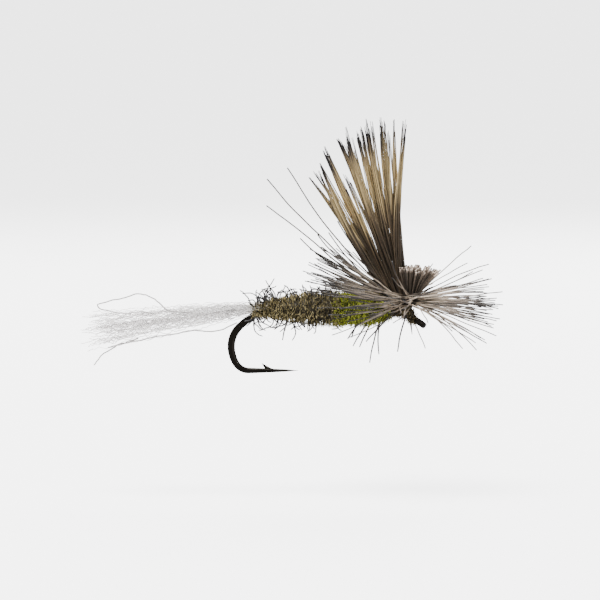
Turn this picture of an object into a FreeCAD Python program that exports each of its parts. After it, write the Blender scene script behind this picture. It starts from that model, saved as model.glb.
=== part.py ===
"""A dry fly: light-wire hook, upright hair wing with a hackle round its foot, dubbed body, yarn tail.

Millimetres. +X runs along the shank to the hook eye, +Z is up, and the origin is the centre of the hook eye.
"""
import FreeCAD, Part
import math
import os

import Sketcher
from FreeCAD import Placement, Rotation, Vector

DIMENSIONS = (
    ("wire_radius", 0.225, "hook wire"),
    ("point_radius", 0.155, "wire along the point, before the tip"),
    ("eye_wire_radius", 0.135, "wire drawn thinner to form the eye"),
    ("eye_ring_radius", 0.485, "centre line of the eye ring"),
    ("eye_hole_radius", 0.37, "clear hole for the leader, with a short straight land"),
    ("eye_angle", 35.0, "how far the eye is turned down"),
    ("neck_taper_length", 0.46, "taper from the eye wire to the full wire"),
    ("neck_length", 0.44, "straight wire between the taper and the shank's turn"),
    ("neck_bend_radius", 0.8, "turn from the shank to the neck"),
    ("shank_length", 9.13, "straight part of the shank"),
    ("bend_a_radius", 1.82, "first arc of the bend"),
    ("bend_a_turn", 28.5, "degrees"),
    ("bend_b_radius", 6.6, "long easy arc"),
    ("bend_b_turn", 15.5, "degrees"),
    ("bend_c_radius", 2.0, "arc round the rearmost point"),
    ("bend_c_turn", 50.0, "degrees"),
    ("bend_d_radius", 2.55, "arc down the heel"),
    ("bend_d_turn", 25.0, "degrees"),
    ("bend_e_radius", 1.1, "tight arc into the point"),
    ("bend_e_turn", 61.0, "degrees"),
    ("point_straight", 0.5, "full wire from the bend to the point's shoulder"),
    ("shoulder_length", 0.8, "taper from the full wire to the thinner point"),
    ("point_length", 0.2, "even wire behind the needle taper"),
    ("needle_length", 2.1, "ground needle taper"),
    ("needle_tip_radius", 0.02, "sharp end"),
    ("barb_offset", 0.9, "from the end of the bend to the barb's tip"),
    ("barb_length", 0.6, "cut barb, root to tip"),
    ("barb_rise", 0.26, "barb tip above the wire's surface"),
    ("barb_width", 0.16, "across the wire"),
    ("thread_pitch", 0.12, "one turn of the tying thread"),
    ("thread_crown", 0.02, "height of one turn's rounded back"),
    ("thread_base_inner", 0.23, "thread base round the shank"),
    ("thread_base_outer", 0.285, "crowns of the thread base"),
    ("body_start", -10.75, "rear end of the body along X"),
    ("body_end", -1.75, "front end of the thread base along X"),
    ("tail_root_length", 1.5, "yarn bound down on the shank"),
    ("tail_root_radius", 0.35, "outside of the bound yarn"),
    ("tail_wrap_length", 0.6, "thread over the yarn"),
    ("tail_wrap_radius", 0.41, "outside of the thread over the yarn"),
    ("abdomen_length", 4.7, "tapered dubbing rope"),
    ("abdomen_bore", 0.42, "clears the thread and the bound yarn"),
    ("abdomen_rear_radius", 0.5, "thin end, over the bend"),
    ("abdomen_quarter_radius", 0.78, "a quarter of the way forward"),
    ("abdomen_front_radius", 1.06, "thick end, against the thorax"),
    ("thorax_length", 4.0, "lime dubbing in front of the abdomen"),
    ("thorax_bore", 0.295, "clears the thread"),
    ("thorax_radius", 1.04, "even part of the thorax"),
    ("thorax_front_radius", 0.5, "front end, against the head"),
    ("head_length", 0.85, "dubbing under the post and round the neck"),
    ("head_bore", 0.43, "clears the wraps that tie the wing down"),
    ("head_radius", 0.66, "thickest part of the head dubbing"),
    ("wing_wrap_length", 0.3, "thread that ties the wing hair to the shank"),
    ("wing_wrap_radius", 0.41, "outside of those wraps"),
    ("post_x", -0.88, "axis of the hair post"),
    ("post_bottom", 1.25, "height of the post's foot"),
    ("post_height", 0.62, "bound part of the wing hair"),
    ("post_radius", 0.58, "bound hair, without its thread"),
    ("post_wrap_radius", 0.66, "outside of the thread round the post"),
    ("quill_radius", 0.06, "hackle stem"),
    ("quill_pitch", 0.135, "one turn of the stem up the post"),
    ("quill_height", 0.46, "wound stretch of the stem"),
    ("barb_root_radius", 0.035, "one hackle barb"),
    ("barb_tip_radius", 0.012, "end of a barb"),
    ("hackle_reach", 7.3, "post axis to barb tip"),
    ("hair_root_radius", 0.045, "one wing hair"),
    ("hair_tip_radius", 0.015, "end of a wing hair"),
    ("wing_height", 12.3, "root to tip of the longest wing hair"),
    ("wing_foot_x", -1.1, "middle of the wing hair where it leaves the post"),
    ("wing_foot_z", 2.12, "height of the same place"),
    ("wing_foot_radius", 0.4, "the free hair there, gathered"),
    ("wing_lean_middle", 17.0, "lean of the wing's middle hair to the rear"),
    ("wing_lean_half", 19.0, "half the fan, seen from the side"),
    ("wing_splay", 10.0, "half the fan, seen from the front"),
    ("butt_radius", 0.05, "one clipped hair butt"),
    ("butt_length", 2.2, "from the post to the cut end"),
    ("fibre_radius", 0.028, "one tail fibre"),
    ("tail_length", 12.4, "tie-in to fibre tip"),
    ("tail_foot_x", -11.6, "middle of the tail where it leaves the bend"),
    ("tail_foot_z", 1.27, "height of the same place"),
    ("tail_foot_radius", 0.22, "the free yarn there, gathered"),
    ("tail_droop", 10.5, "how far the tail's middle points down"),
    ("tail_fan_half", 6.0, "half the fan, seen from the side"),
    ("tail_splay", 4.5, "half the fan, seen from above"),
    ("fit_gap", 0.005, "between a wound piece and what it is wound on"),
    ("piece_gap", 0.02, "between neighbouring dubbed pieces along the shank"),
    ("notch_gap", 0.15, "round the wound hackle stem, cut out of the head dubbing"),
    ("notch_height", 3.0, "of that cut, past the top of the dubbing"),
    ("finish_radius", 0.33, "outside of the whip finish"),
    ("finish_length", 0.32, "whip finish along the neck"),
    ("stub_length", 1.05, "clipped end of the hackle stem"),
    ("stub_x", -0.62, "where the stub comes out of the head"),
    ("stub_z", 0.13, "height of the same place"),
)
GOLDEN_TURN = math.pi * (3.0 - math.sqrt(5.0))
WING_HAIRS = 60
TAIL_FIBRES = 42
WING_CLUMPS = ("rear", "mid_rear", "mid_front", "front")
TAIL_STRANDS = ("lower", "middle", "upper")
HACKLE_TURNS = 4
BARBS_PER_TURN = 18
BUTT_COUNT = 22
STEM_STEPS_PER_TURN = 16

document = FreeCAD.newDocument("dry_fly")
sheet = document.addObject("Spreadsheet::Sheet", "dims")
for row, (alias, value, note) in enumerate(DIMENSIONS, start=1):
    sheet.set(f"A{row}", note)
    sheet.set(f"B{row}", str(value))
    sheet.setAlias(f"B{row}", alias)
document.recompute()


def dim(alias):
    """The sheet's value for an alias."""
    return float(sheet.get(alias))


def bind(item, **expressions):
    """Ties each named property of an object to an expression on the sheet."""
    for name, expression in expressions.items():
        item.setExpression(name, expression)


def origin_plane(body, role):
    return next(feature for feature in body.Origin.OriginFeatures if feature.Role == role)


def new_sketch(body, name, role):
    sketch = body.newObject("Sketcher::SketchObject", name)
    sketch.AttachmentSupport = [(origin_plane(body, role), "")]
    sketch.MapMode = "FlatFace"
    return sketch


def bind_constraint(sketch, constraint, name, expression):
    """Adds a driving constraint and ties its value to the sheet."""
    index = sketch.addConstraint(constraint)
    sketch.renameConstraint(index, name)
    sketch.setExpression(f"Constraints.{name}", expression)


def profile(body, name, corners):
    """A closed outline in the XZ plane; each corner is a pair of expressions on the sheet."""
    sketch = new_sketch(body, name, "XZ_Plane")
    places = [Vector(*(float(sheet.evalExpression(text)) for text in corner), 0) for corner in corners]
    count = len(corners)
    for index, place in enumerate(places):
        sketch.addGeometry(Part.LineSegment(place, places[(index + 1) % count]))
    for index, (across, up) in enumerate(corners):
        sketch.addConstraint(Sketcher.Constraint("Coincident", index, 2, (index + 1) % count, 1))
        place = places[index]
        distance = Sketcher.Constraint("DistanceX", index, 1, place.x)
        bind_constraint(sketch, distance, f"across_{index}", across)
        height = Sketcher.Constraint("DistanceY", index, 1, place.y)
        bind_constraint(sketch, height, f"up_{index}", up)
    return sketch


def turned(label, corners, place):
    """A body turned about its own X axis, then set at its place."""
    body = document.addObject("PartDesign::Body", label)
    outline = profile(body, f"{label}_outline", corners)
    turn = body.newObject("PartDesign::Revolution", f"{label}_turn")
    turn.Profile = outline
    turn.ReferenceAxis = (outline, ["H_Axis"])
    turn.Angle = 360.0
    body.Placement = Placement(place, Rotation())
    return body


def path_step(start, heading, length=None, radius=None, turn=None):
    """One run or left-hand arc of a path: its geometry, its end and its heading there (degrees)."""
    ahead = Vector(math.cos(math.radians(heading)), math.sin(math.radians(heading)), 0)
    if radius is None:
        end = start + ahead * length
        return Part.LineSegment(start, end), end, heading
    left = Vector(-ahead.y, ahead.x, 0)
    centre = start + left * radius
    first = math.radians(heading - 90.0)
    last = math.radians(heading - 90.0 + turn)
    arc = Part.ArcOfCircle(Part.Circle(centre, Vector(0, 0, 1), radius), first, last)
    return arc, arc.EndPoint, heading + turn


def hook_path(body):
    """The wire's centre line from the neck to the point, in the XZ plane."""
    sketch = new_sketch(body, "wire_path", "XZ_Plane")
    heading = 180.0 - dim("eye_angle")
    reach = dim("eye_ring_radius") + dim("neck_taper_length")
    place = Vector(math.cos(math.radians(heading)), math.sin(math.radians(heading)), 0) * reach
    start = place
    runs = [("neck", {"length": dim("neck_length")})]
    runs.append(("neck_bend", {"radius": dim("neck_bend_radius"), "turn": dim("eye_angle")}))
    runs.append(("shank", {"length": dim("shank_length")}))
    for letter in "abcde":
        arc = {"radius": dim(f"bend_{letter}_radius"), "turn": dim(f"bend_{letter}_turn")}
        runs.append((f"bend_{letter}", arc))
    runs.append(("point", {"length": dim("point_straight")}))
    for index, (name, run) in enumerate(runs):
        geometry, place, heading = path_step(place, heading, **run)
        sketch.addGeometry(geometry)
        if index:
            sketch.addConstraint(Sketcher.Constraint("Tangent", index - 1, 2, index, 1))
    expressions = {"neck": "neck_length", "shank": "shank_length", "point": "point_straight"}
    for index, (name, run) in enumerate(runs):
        if "length" in run:
            length = Sketcher.Constraint("Distance", index, run["length"])
            bind_constraint(sketch, length, f"{name}_length", f"dims.{expressions[name]}")
        else:
            radius = Sketcher.Constraint("Radius", index, run["radius"])
            bind_constraint(sketch, radius, f"{name}_size", f"dims.{name}_radius")
    sketch.addConstraint(Sketcher.Constraint("DistanceX", 0, 1, start.x))
    sketch.addConstraint(Sketcher.Constraint("DistanceY", 0, 1, start.y))
    return sketch, place, heading


def make_hook():
    body = document.addObject("PartDesign::Body", "hook")
    path, tip_start, heading = hook_path(body)
    down = 180.0 - dim("eye_angle")
    up_neck = Vector(math.cos(math.radians(down)), 0, math.sin(math.radians(down)))
    section = body.newObject("Sketcher::SketchObject", "wire_section")
    section.AttachmentSupport = [(path, "Edge1")]
    section.MapMode = "NormalToEdge"
    section.addGeometry(Part.Circle(Vector(0, 0, 0), Vector(0, 0, 1), dim("wire_radius")))
    section.addConstraint(Sketcher.Constraint("Coincident", 0, 3, -1, 1))
    size = Sketcher.Constraint("Radius", 0, dim("wire_radius"))
    bind_constraint(section, size, "wire", "dims.wire_radius")
    document.recompute()
    wire = body.newObject("PartDesign::AdditivePipe", "wire")
    wire.Profile = section
    wire.Spine = path
    taper = body.newObject("PartDesign::AdditiveCone", "neck_taper")
    bind(taper, Radius1="dims.eye_wire_radius", Radius2="dims.wire_radius", Height="dims.neck_taper_length")
    taper.Placement = Placement(up_neck * dim("eye_ring_radius"), Rotation(Vector(0, 0, 1), up_neck))
    ring = body.newObject("PartDesign::AdditiveTorus", "eye_ring")
    bind(ring, Radius1="dims.eye_ring_radius", Radius2="dims.eye_wire_radius")
    eye_turn = Rotation(Vector(0, 1, 0), dim("eye_angle"))
    ring.Placement = Placement(Vector(0, 0, 0), eye_turn)
    forward = Vector(math.cos(math.radians(heading)), 0, math.sin(math.radians(heading)))
    along_point = Rotation(Vector(0, 0, 1), forward)
    place = Vector(tip_start.x, 0, tip_start.y)
    shoulder = body.newObject("PartDesign::AdditiveCone", "point_shoulder")
    bind(shoulder, Radius1="dims.wire_radius", Radius2="dims.point_radius", Height="dims.shoulder_length")
    shoulder.Placement = Placement(place, along_point)
    place = place + forward * dim("shoulder_length")
    run = body.newObject("PartDesign::AdditiveCylinder", "point_run")
    bind(run, Radius="dims.point_radius", Height="dims.point_length")
    run.Placement = Placement(place, along_point)
    place = place + forward * dim("point_length")
    needle = body.newObject("PartDesign::AdditiveCone", "needle_point")
    bind(needle, Radius1="dims.point_radius", Radius2="dims.needle_tip_radius", Height="dims.needle_length")
    needle.Placement = Placement(place, along_point)
    cut_barb(body, Vector(tip_start.x - dim("point_straight"), tip_start.y, 0))
    land = body.newObject("PartDesign::SubtractiveCylinder", "eye_land")
    bind(land, Radius="dims.eye_hole_radius", Height="dims.eye_wire_radius * 4")
    low_end = eye_turn.multVec(Vector(0, 0, 1)) * -2.0 * dim("eye_wire_radius")
    land.Placement = Placement(low_end, eye_turn)
    body.Tip = land
    return body


def cut_barb(body, bend_end):
    """The barb: a thin three-sided tongue whose tip points back at the bend."""
    sketch = new_sketch(body, "barb_outline", "XZ_Plane")
    tip = bend_end + Vector(dim("barb_offset"), dim("point_radius") + dim("barb_rise"), 0)
    base = bend_end.y + 0.5 * dim("point_radius")
    corners = [
        tip,
        Vector(tip.x + 0.35 * dim("barb_length"), base, 0),
        Vector(tip.x + dim("barb_length"), base, 0),
    ]
    for index, corner in enumerate(corners):
        sketch.addGeometry(Part.LineSegment(corner, corners[(index + 1) % len(corners)]))
    for index in range(len(corners)):
        following = (index + 1) % len(corners)
        sketch.addConstraint(Sketcher.Constraint("Coincident", index, 2, following, 1))
    tongue = body.newObject("PartDesign::Pad", "barb")
    tongue.Profile = sketch
    bind(tongue, Length="dims.barb_width")
    tongue.Midplane = True


def feature(label, shape, place=Vector(0, 0, 0), turn=Rotation()):
    item = document.addObject("Part::Feature", label)
    item.Shape = shape
    item.Placement = Placement(place, turn)
    return item


def wound_sleeve(inner, outer, length):
    """Touching turns of thread as one ribbed sleeve about X, from 0 to length."""
    turns = max(2, round(length / dim("thread_pitch")))
    step = length / turns
    valley = outer - dim("thread_crown")
    edges = [Part.LineSegment(Vector(0, 0, inner), Vector(0, 0, valley))]
    for index in range(turns):
        first = Vector(index * step, 0, valley)
        top = Vector((index + 0.5) * step, 0, outer)
        last = Vector((index + 1) * step, 0, valley)
        edges.append(Part.Arc(first, top, last))
    edges.append(Part.LineSegment(Vector(length, 0, valley), Vector(length, 0, inner)))
    edges.append(Part.LineSegment(Vector(length, 0, inner), Vector(0, 0, inner)))
    outline = Part.Wire([edge.toShape() for edge in edges])
    return Part.Face(outline).revolve(Vector(0, 0, 0), Vector(1, 0, 0), 360.0)


def taper_between(foot, tip, foot_radius, tip_radius):
    """A straight tapered hair from foot to tip."""
    along = tip - foot
    return Part.makeCone(foot_radius, tip_radius, along.Length, foot, along)


def scatter(index, salt):
    """A repeatable number from -1 to 1 for one hair."""
    value = math.sin(12.9898 * (index + 1) + 78.233 * salt) * 43758.5453
    return 2.0 * (value - math.floor(value)) - 1.0


def disc_spot(index, count):
    """The place of one item of an even scatter over a unit disc."""
    reach = math.sqrt((index + 0.5) / count)
    turn = index * GOLDEN_TURN
    return reach * math.cos(turn), reach * math.sin(turn)


def make_shank_pieces(shank_z):
    """The thread base, the bound yarn, and the wraps that hold the yarn and the wing down."""
    start = dim("body_start")
    base = wound_sleeve(dim("thread_base_inner"), dim("thread_base_outer"), dim("body_end") - start)
    feature("shank_thread", base, Vector(start, 0, shank_z))
    root_inner = dim("thread_base_outer") + dim("fit_gap")
    outer = document.addObject("Part::Cylinder", "tail_root_outside")
    bind(outer, Radius="dims.tail_root_radius", Height="dims.tail_root_length")
    inner = document.addObject("Part::Cylinder", "tail_root_inside")
    bind(inner, Radius="dims.thread_base_outer + dims.fit_gap", Height="dims.tail_root_length")
    root = document.addObject("Part::Cut", "tail_yarn_root")
    root.Base = outer
    root.Tool = inner
    root.Placement = Placement(Vector(start, 0, shank_z), Rotation(Vector(0, 0, 1), Vector(1, 0, 0)))
    wraps = wound_sleeve(
        dim("tail_root_radius") + dim("fit_gap"), dim("tail_wrap_radius"), dim("tail_wrap_length")
    )
    feature("tail_tie_wraps", wraps, Vector(start, 0, shank_z))
    wing_ties = wound_sleeve(root_inner, dim("wing_wrap_radius"), dim("wing_wrap_length"))
    foot = dim("body_end") - dim("wing_wrap_length")
    feature("wing_tie_wraps", wing_ties, Vector(foot, 0, shank_z))


def make_dubbing(shank_z):
    """The abdomen, the thorax and the head pad, each turned about the shank."""
    start = dim("body_start")
    abdomen = [
        ("0", "dims.abdomen_bore"),
        ("0", "dims.abdomen_rear_radius"),
        ("dims.abdomen_length * 0.25", "dims.abdomen_quarter_radius"),
        ("dims.abdomen_length * 0.75", "dims.abdomen_front_radius * 0.96"),
        ("dims.abdomen_length", "dims.abdomen_front_radius"),
        ("dims.abdomen_length", "dims.abdomen_bore"),
    ]
    turned("abdomen_dubbing", abdomen, Vector(start, 0, shank_z))
    thorax = [
        ("0", "dims.thorax_bore"),
        ("0", "dims.thorax_radius"),
        ("dims.thorax_length * 0.7", "dims.thorax_radius"),
        ("dims.thorax_length", "dims.thorax_front_radius"),
        ("dims.thorax_length", "dims.thorax_bore"),
    ]
    thorax_start = start + dim("abdomen_length") + dim("piece_gap")
    turned("thorax_dubbing", thorax, Vector(thorax_start, 0, shank_z))
    head = [
        ("0", "dims.head_bore"),
        ("0", "dims.head_radius * 0.8"),
        ("dims.head_length * 0.5", "dims.head_radius"),
        ("dims.head_length", "dims.head_radius * 0.7"),
        ("dims.head_length", "dims.head_bore"),
    ]
    head_start = thorax_start + dim("thorax_length") + dim("piece_gap")
    pad = turned("head_dubbing", head, Vector(head_start, 0, shank_z))
    document.recompute()
    notch = pad.newObject("PartDesign::SubtractiveCylinder", "post_notch")
    wound_radius = "dims.post_wrap_radius + dims.quill_radius * 2"
    bind(notch, Radius=f"{wound_radius} + dims.notch_gap", Height="dims.notch_height")
    notch_foot = Vector(dim("post_x") - head_start, 0, dim("post_bottom") - dim("piece_gap") - shank_z)
    notch.Placement = Placement(notch_foot, Rotation())
    pad.Tip = notch
    return head_start


def wound_stem(coil_radius):
    """The stem of the hackle feather, wound up the post in short straight steps with mitred joints."""
    turns = dim("quill_height") / dim("quill_pitch")
    count = round(turns * STEM_STEPS_PER_TURN)
    spots = []
    for index in range(count + 1):
        angle = 2.0 * math.pi * turns * index / count
        rise = dim("quill_height") * index / count
        spots.append(Vector(coil_radius * math.cos(angle), coil_radius * math.sin(angle), rise))
    route = Part.makePolygon(spots)
    section = Part.Circle(spots[0], spots[1] - spots[0], dim("quill_radius"))
    return route.makePipeShell([Part.Wire([section.toShape()])], True, False, 1)


def make_post():
    """The bound foot of the wing hair, its thread, and the hackle stem wound round it."""
    foot = Vector(dim("post_x"), 0, dim("post_bottom"))
    upright = Rotation(Vector(1, 0, 0), Vector(0, 0, 1))
    core = document.addObject("Part::Cone", "wing_hair_root")
    bind(core, Radius1="dims.post_radius", Radius2="dims.post_radius * 0.97", Height="dims.post_height")
    core.Placement = Placement(foot, Rotation())
    sleeve_inner = dim("post_radius") + dim("fit_gap")
    wraps = wound_sleeve(sleeve_inner, dim("post_wrap_radius"), dim("post_height") * 0.95)
    feature("post_wraps", wraps, foot, upright)
    coil_radius = dim("post_wrap_radius") + dim("quill_radius") + 2.0 * dim("fit_gap")
    coil_foot = foot + Vector(0, 0, dim("quill_radius") + dim("piece_gap"))
    feature("hackle_quill", wound_stem(coil_radius), coil_foot)
    return foot, coil_radius + dim("quill_radius") + 2.0 * dim("fit_gap")


def hackle_barb(foot, inner, azimuth, elevation, height, reach):
    """One barb that leaves the quill at an azimuth (0 is forward) and an elevation, both in degrees."""
    turn = math.radians(azimuth)
    rise = math.radians(elevation)
    out = Vector(math.cos(turn), math.sin(turn), 0)
    root = foot + out * inner + Vector(0, 0, height)
    run = reach - inner
    tip = root + out * run * math.cos(rise) + Vector(0, 0, run * math.sin(rise))
    return taper_between(root, tip, dim("barb_root_radius"), dim("barb_tip_radius"))


def make_hackle(foot, inner):
    """Four turns of barbs, lowest first; the low turns leave out the stretch that the thorax fills."""
    low_rise = (-36.0, -15.0, 0.0, 9.0)
    high_rise = (-18.0, -4.0, 8.0, 21.0)
    rear_gap = 36.0
    for turn in range(HACKLE_TURNS):
        height = dim("quill_radius") + 0.05 + (turn + 0.5) * dim("quill_height") / HACKLE_TURNS
        barbs = []
        for index in range(BARBS_PER_TURN):
            azimuth = (index + 0.25 * turn) * 360.0 / BARBS_PER_TURN
            from_rear = abs(azimuth - 180.0)
            if turn < HACKLE_TURNS / 2 and from_rear < rear_gap:
                continue
            share = 0.5 + 0.5 * scatter(index, turn)
            flatness = 0.45 + 0.55 * abs(math.cos(math.radians(azimuth)))
            rise = flatness * (low_rise[turn] + share * (high_rise[turn] - low_rise[turn]))
            if from_rear < rear_gap:
                rise = 19.0 + 1.6 * turn + 2.0 * scatter(index, 9)
            reach = dim("hackle_reach") * (0.97 + 0.05 * scatter(index, turn + 4))
            barbs.append(hackle_barb(foot, inner, azimuth, rise, height, reach))
        feature(f"hackle_barbs_turn_{turn + 1}", Part.makeCompound(barbs))


def make_stray_barbs():
    """Barbs caught under the thorax, which point down and back past its sides."""
    tips = ((-3.85, -1.9, -1.4), (-3.5, 1.7, -3.0), (-3.0, -1.8, -2.3), (-4.8, 2.0, -1.7), (-5.2, -2.0, -1.3))
    strays = []
    for index, tip in enumerate(tips):
        side = math.copysign(1.0, tip[1])
        root = Vector(-2.05 - 0.05 * index, side * 0.95, 0.55 + 0.12 * index)
        strays.append(taper_between(root, Vector(*tip), dim("barb_root_radius"), dim("barb_tip_radius")))
    front = taper_between(
        Vector(-1.0, -0.85, 0.5), Vector(-1.6, -1.5, -2.1), dim("barb_root_radius"), dim("barb_tip_radius")
    )
    feature("hackle_stray_barbs", Part.makeCompound(strays + [front]))


def make_wing():
    """The wing's hairs spread from the post like the ribs of a fan, parted into clumps from rear to front."""
    clumps = {name: [] for name in WING_CLUMPS}
    for index in range(WING_HAIRS):
        back, aside = disc_spot(index, WING_HAIRS)
        foot_radius = dim("wing_foot_radius")
        foot = Vector(dim("wing_foot_x") - back * foot_radius, aside * foot_radius, dim("wing_foot_z"))
        lean = math.radians(dim("wing_lean_middle") + back * dim("wing_lean_half"))
        splay = math.radians(aside * dim("wing_splay"))
        length = dim("wing_height") * (0.93 - 0.07 * back + 0.04 * scatter(index, 2))
        ray = Vector(-math.sin(lean) * math.cos(splay), math.sin(splay), math.cos(lean) * math.cos(splay))
        rank = min(len(WING_CLUMPS) - 1, int((1.0 - back) / 2.0 * len(WING_CLUMPS)))
        hair = taper_between(foot, foot + ray * length, dim("hair_root_radius"), dim("hair_tip_radius"))
        clumps[WING_CLUMPS[rank]].append(hair)
    for name, hairs in clumps.items():
        feature(f"wing_hair_{name}", Part.makeCompound(hairs))
    strays = []
    for index, (lean, length) in enumerate(((43.0, 12.2), (50.0, 12.6), (57.5, 11.5))):
        tilt = math.radians(lean)
        foot = Vector(dim("wing_foot_x") - 0.5, 0.12 * (index - 1), dim("wing_foot_z") + 0.12 * (2 - index))
        tip = foot + Vector(-math.sin(tilt), 0.05 * (index - 1), math.cos(tilt)) * length
        strays.append(taper_between(foot, tip, dim("hair_root_radius") * 0.8, dim("hair_tip_radius")))
    feature("wing_stray_hairs", Part.makeCompound(strays))


def make_butts():
    """The clipped butts: short cut hairs that fan out round the front of the post."""
    butts = []
    for index in range(BUTT_COUNT):
        share = index / (BUTT_COUNT - 1)
        azimuth = math.radians(-105.0 + 210.0 * share)
        row = index % 2
        facing = math.cos(azimuth)
        lean = math.radians(14.0 + 18.0 * max(facing, 0.0) + 9.0 * row)
        out = Vector(math.cos(azimuth), math.sin(azimuth), 0)
        root = Vector(dim("post_x"), 0, dim("post_bottom") + dim("post_height") + dim("piece_gap"))
        root = root + out * (0.53 if row else 0.42)
        length = dim("butt_length") * (1.0 + 0.12 * scatter(index, 6))
        tip = root + (out * math.sin(lean) + Vector(0, 0, math.cos(lean))) * length
        butts.append(taper_between(root, tip, dim("butt_radius") * 0.9, dim("butt_radius")))
    feature("wing_butts", Part.makeCompound(butts))


def make_tail():
    """The tail's fibres, parted into three strands by height, and the one fibre that loops back."""
    strands = {name: [] for name in TAIL_STRANDS}
    for index in range(TAIL_FIBRES):
        up, aside = disc_spot(index, TAIL_FIBRES)
        foot_radius = dim("tail_foot_radius")
        foot = Vector(dim("tail_foot_x"), aside * foot_radius, dim("tail_foot_z") + up * foot_radius)
        droop = math.radians(dim("tail_droop") - up * dim("tail_fan_half"))
        splay = math.radians(aside * dim("tail_splay"))
        ray = Vector(-math.cos(droop) * math.cos(splay), math.sin(splay), -math.sin(droop) * math.cos(splay))
        length = dim("tail_length") * (0.97 + 0.05 * scatter(index, 3))
        rank = min(len(TAIL_STRANDS) - 1, int((up + 1.0) / 2.0 * len(TAIL_STRANDS)))
        fibre = taper_between(foot, foot + ray * length, dim("fibre_radius"), dim("fibre_radius") * 0.8)
        strands[TAIL_STRANDS[rank]].append(fibre)
    for name, fibres in strands.items():
        feature(f"tail_yarn_{name}", Part.makeCompound(fibres))
    outward = ((-17.4, 0.85), (-18.8, 1.5), (-19.9, 2.1), (-20.9, 2.05), (-22.2, 1.7))
    back = ((-23.3, 1.35), (-22.2, 0.95))
    route = Part.makePolygon([Vector(x, -0.9, z) for x, z in outward + back])
    first = route.Vertexes[0].Point
    ahead = route.Vertexes[1].Point - first
    ring = Part.Wire([Part.Circle(first, ahead, dim("fibre_radius")).toShape()])
    feature("tail_loop_fibre", route.makePipeShell([ring], True, False, 1))


def make_head(shank_z):
    """The whip finish round the neck and the clipped stub of the hackle stem."""
    angle = math.radians(dim("eye_angle"))
    neck = Vector(-math.cos(angle), 0, math.sin(angle))
    finish = wound_sleeve(dim("thread_base_inner"), dim("finish_radius"), dim("finish_length"))
    finish_foot = neck * (dim("eye_ring_radius") + dim("neck_taper_length") + 0.05)
    feature("whip_finish", finish, finish_foot, Rotation(Vector(1, 0, 0), neck))
    stub = document.addObject("Part::Cone", "hackle_stem_stub")
    bind(stub, Radius1="dims.quill_radius * 1.6", Radius2="dims.quill_radius * 0.4")
    bind(stub, Height="dims.stub_length")
    stub_ray = Vector(0.12, 0, -1.0)
    stub.Placement = Placement(Vector(dim("stub_x"), 0, dim("stub_z")), Rotation(Vector(0, 0, 1), stub_ray))


def build():
    shank_z = (
        math.sin(math.radians(dim("eye_angle")))
        * (dim("eye_ring_radius") + dim("neck_taper_length") + dim("neck_length"))
        + dim("neck_bend_radius") * (1.0 - math.cos(math.radians(dim("eye_angle"))))
    )
    make_hook()
    make_shank_pieces(shank_z)
    make_dubbing(shank_z)
    foot, inner = make_post()
    make_hackle(foot, inner)
    make_stray_barbs()
    make_wing()
    make_butts()
    make_tail()
    make_head(shank_z)
    document.recompute()
    return shank_z


HELPERS = ("tail_root_outside", "tail_root_inside")


def sub_parts():
    """The pieces of the fly, without the shapes that only serve to make them."""
    kinds = ("PartDesign::Body", "Part::Feature", "Part::Cone", "Part::Cut")
    return [item for item in document.Objects if item.TypeId in kinds and item.Name not in HELPERS]


print("shank height", round(build(), 4))
for item in document.Objects:
    if "Invalid" in item.State or "Error" in item.State:
        raise RuntimeError(f"{item.Name} failed: {item.State}")
os.makedirs("parts", exist_ok=True)
for item in sub_parts():
    shape = item.Shape
    if shape.isNull() or not shape.isValid():
        raise RuntimeError(f"{item.Name} has no valid shape")
    shape.exportStep(os.path.join("parts", f"{item.Label}.step"))
    box = shape.BoundBox
    print(
        f"{item.Label:24} solids {len(shape.Solids):3} volume {shape.Volume:8.4f}"
        f"  x {box.XMin:7.2f} {box.XMax:6.2f}  y {box.YMin:6.2f} {box.YMax:5.2f}"
        f"  z {box.ZMin:6.2f} {box.ZMax:5.2f}"
    )
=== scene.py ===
"""Looks of a dry fly: bronzed hook, dubbed body, yarn tail, upright hair wing and wound hackle."""

import math
import random

import bmesh
import bpy
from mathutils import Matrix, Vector


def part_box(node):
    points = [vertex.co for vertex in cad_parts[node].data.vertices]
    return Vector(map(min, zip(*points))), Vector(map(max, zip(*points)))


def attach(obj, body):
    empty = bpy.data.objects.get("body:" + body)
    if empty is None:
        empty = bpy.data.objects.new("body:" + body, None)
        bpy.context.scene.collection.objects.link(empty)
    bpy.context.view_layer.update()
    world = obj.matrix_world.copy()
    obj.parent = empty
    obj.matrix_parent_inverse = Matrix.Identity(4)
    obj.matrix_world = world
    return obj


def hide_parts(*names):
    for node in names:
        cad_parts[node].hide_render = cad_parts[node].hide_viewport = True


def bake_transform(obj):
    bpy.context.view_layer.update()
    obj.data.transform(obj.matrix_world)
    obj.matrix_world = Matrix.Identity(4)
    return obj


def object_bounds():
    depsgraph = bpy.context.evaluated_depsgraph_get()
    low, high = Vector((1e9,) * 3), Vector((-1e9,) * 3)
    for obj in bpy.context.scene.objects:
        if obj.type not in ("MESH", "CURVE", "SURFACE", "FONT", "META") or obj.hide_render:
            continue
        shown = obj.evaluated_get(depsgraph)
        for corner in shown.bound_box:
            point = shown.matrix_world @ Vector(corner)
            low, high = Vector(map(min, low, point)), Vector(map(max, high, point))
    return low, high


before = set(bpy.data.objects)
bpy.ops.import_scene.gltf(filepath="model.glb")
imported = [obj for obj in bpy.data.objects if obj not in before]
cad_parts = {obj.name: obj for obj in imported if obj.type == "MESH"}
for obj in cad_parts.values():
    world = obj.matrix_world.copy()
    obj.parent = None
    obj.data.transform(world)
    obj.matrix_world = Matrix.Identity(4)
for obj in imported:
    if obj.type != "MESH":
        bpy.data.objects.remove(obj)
cad_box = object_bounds()

MM = 0.001
BAKE_MAP = "OFBake"
BODY, WING, TAIL = "fly_body", "wing", "tail"


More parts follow.
